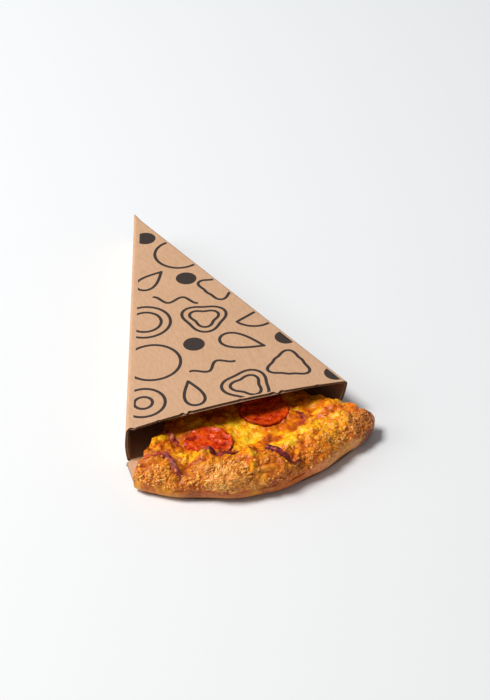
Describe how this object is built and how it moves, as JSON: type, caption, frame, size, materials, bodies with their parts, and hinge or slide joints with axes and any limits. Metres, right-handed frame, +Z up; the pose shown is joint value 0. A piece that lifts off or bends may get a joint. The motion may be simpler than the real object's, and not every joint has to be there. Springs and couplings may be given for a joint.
{
  "type": "pizza slice",
  "caption": "Triangular slice of baked pizza with puffed crust, cheese, pepperoni and red onion, lying in a long open-ended triangular card sleeve.",
  "frame": {"origin": "on the table under the middle of the whole's bounding box", "axes": "+Y towards the closed point of the sleeve, +Z up, the crust and the sleeve's opening towards -Y"},
  "size_m": [0.1688, 0.2968, 0.0291],
  "materials": {
    "card": "matte",
    "crust": "matte",
    "sauce": "satin",
    "cheese": "satin",
    "pepperoni": "satin",
    "onion": "satin"
  },
  "bodies": {
    "root": {"card_sleeve": "card", "dough_crust": "crust", "tomato_sauce": "sauce", "melted_cheese": "cheese", "pepperoni_left": "pepperoni", "pepperoni_right": "pepperoni", "pepperoni_inner": "pepperoni", "onion_strip_middle": "onion", "onion_strip_left": "onion", "onion_strip_near": "onion", "onion_strip_right": "onion", "onion_strip_far": "onion"}
  },
  "joints": []
}
